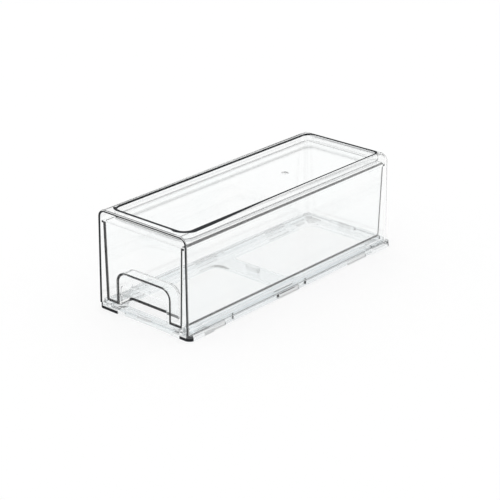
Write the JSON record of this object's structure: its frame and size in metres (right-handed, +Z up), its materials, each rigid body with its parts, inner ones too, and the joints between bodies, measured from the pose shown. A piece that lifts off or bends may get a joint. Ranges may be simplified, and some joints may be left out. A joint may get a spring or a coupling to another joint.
{
  "type": "pull-out storage box",
  "caption": "Clear plastic storage box: a cover snapped onto a base frame, and a drawer with a finger pocket that slides out.",
  "frame": {"origin": "middle of the footprint of the whole box with the drawer shut, on the surface that it stands on", "axes": "+Z up; the front faces -Y and the drawer slides out that way; +X is to the right seen from the front"},
  "size_m": [0.1156, 0.299, 0.1],
  "materials": {
    "clear_cover": "polished",
    "clear_base": "polished",
    "clear_drawer": "polished"
  },
  "bodies": {
    "case": {"cover": "clear_cover", "base": "clear_base"},
    "drawer": {"drawer": "clear_drawer"}
  },
  "joints": [
    {"name": "drawer_slide", "type": "slide", "parent": "case", "child": "drawer", "axis": [0, -1, 0], "range_m": [0, 0.136]}
  ]
}
